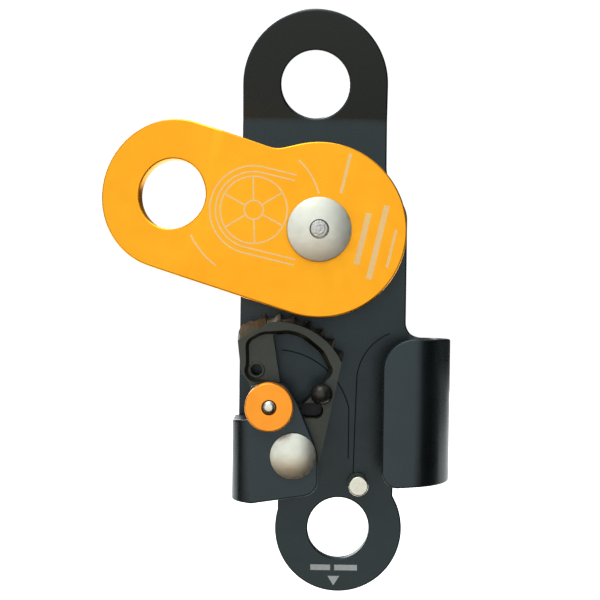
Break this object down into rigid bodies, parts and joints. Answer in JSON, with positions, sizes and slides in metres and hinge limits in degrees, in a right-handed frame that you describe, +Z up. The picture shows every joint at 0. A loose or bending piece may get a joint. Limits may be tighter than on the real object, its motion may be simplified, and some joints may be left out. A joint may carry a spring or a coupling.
{
  "type": "rope pulley with swing cheek and cam clamp",
  "caption": "Climbing and rigging pulley: a folded metal plate holds a grooved wheel under a swing cheek, with a toothed spring cam that grips rope in a side channel.",
  "frame": {"origin": "centre of the hang eye, midway between the two plates", "axes": "+Z up along the hanging pulley, from the lower eye towards the hang eye; +Y from the swing cheek to the fixed plate, along the axle; +X to the right seen from the cheek side"},
  "size_m": [0.0927, 0.031, 0.1573],
  "materials": {
    "plate": "satin black hard-anodised sheet",
    "cheek": "satin gold-orange anodised",
    "knob": "satin orange anodised",
    "steel": "turned and polished rivet steel",
    "cam_steel": "dark phosphated cast steel",
    "bronze": "plain bearing bronze",
    "sheave_aluminium": "turned",
    "nylon": "matte",
    "spring_steel": "drawn wire"
  },
  "bodies": {
    "frame": {"fixed_plate": "plate", "axle_pin": "steel", "axle_cap": "steel", "cheek_washer": "nylon", "rear_axle_washer": "steel", "axle_sleeve": "steel", "thrust_washer_front": "bronze", "thrust_washer_rear": "bronze", "cam_rivet": "steel", "cam_rear_washer": "steel", "cam_shim_front": "bronze", "cam_shim_rear": "bronze", "cam_torsion_spring": "spring_steel", "lock_sleeve": "steel", "lock_spring": "spring_steel", "rope_guide_pin": "steel"},
    "swing_cheek": {"swing_cheek": "cheek", "cheek_bush": "bronze"},
    "sheave": {"sheave": "sheave_aluminium", "sheave_bush": "bronze"},
    "cam": {"cam": "cam_steel", "cam_bush": "bronze", "thumb_stud": "cam_steel"},
    "lock": {"lock_knob": "knob", "lock_pin": "steel", "lock_pin_collar": "steel"}
  },
  "joints": [
    {"name": "cheek_swing", "type": "hinge", "parent": "frame", "child": "swing_cheek", "pos_m": [0.00125, 0, -0.0404], "axis": [0, 1, 0], "range_deg": [-45, 165]},
    {"name": "sheave_spin", "type": "hinge", "parent": "frame", "child": "sheave", "pos_m": [0.00125, 0, -0.0404], "axis": [0, 1, 0], "continuous": true},
    {"name": "cam_pivot", "type": "hinge", "parent": "frame", "child": "cam", "pos_m": [-0.00465, 0, -0.0987], "axis": [0, 1, 0], "range_deg": [0, 75], "stiffness_Nm_per_rad": 0.004, "springref_deg": 114.59, "deforming": ["cam_torsion_spring"]},
    {"name": "lock_pull", "type": "slide", "parent": "frame", "child": "lock", "axis": [0, -1, 0], "range_m": [0, 0.0035], "stiffness_N_per_m": 400, "springref_m": -0.002, "deforming": ["lock_spring"]}
  ]
}
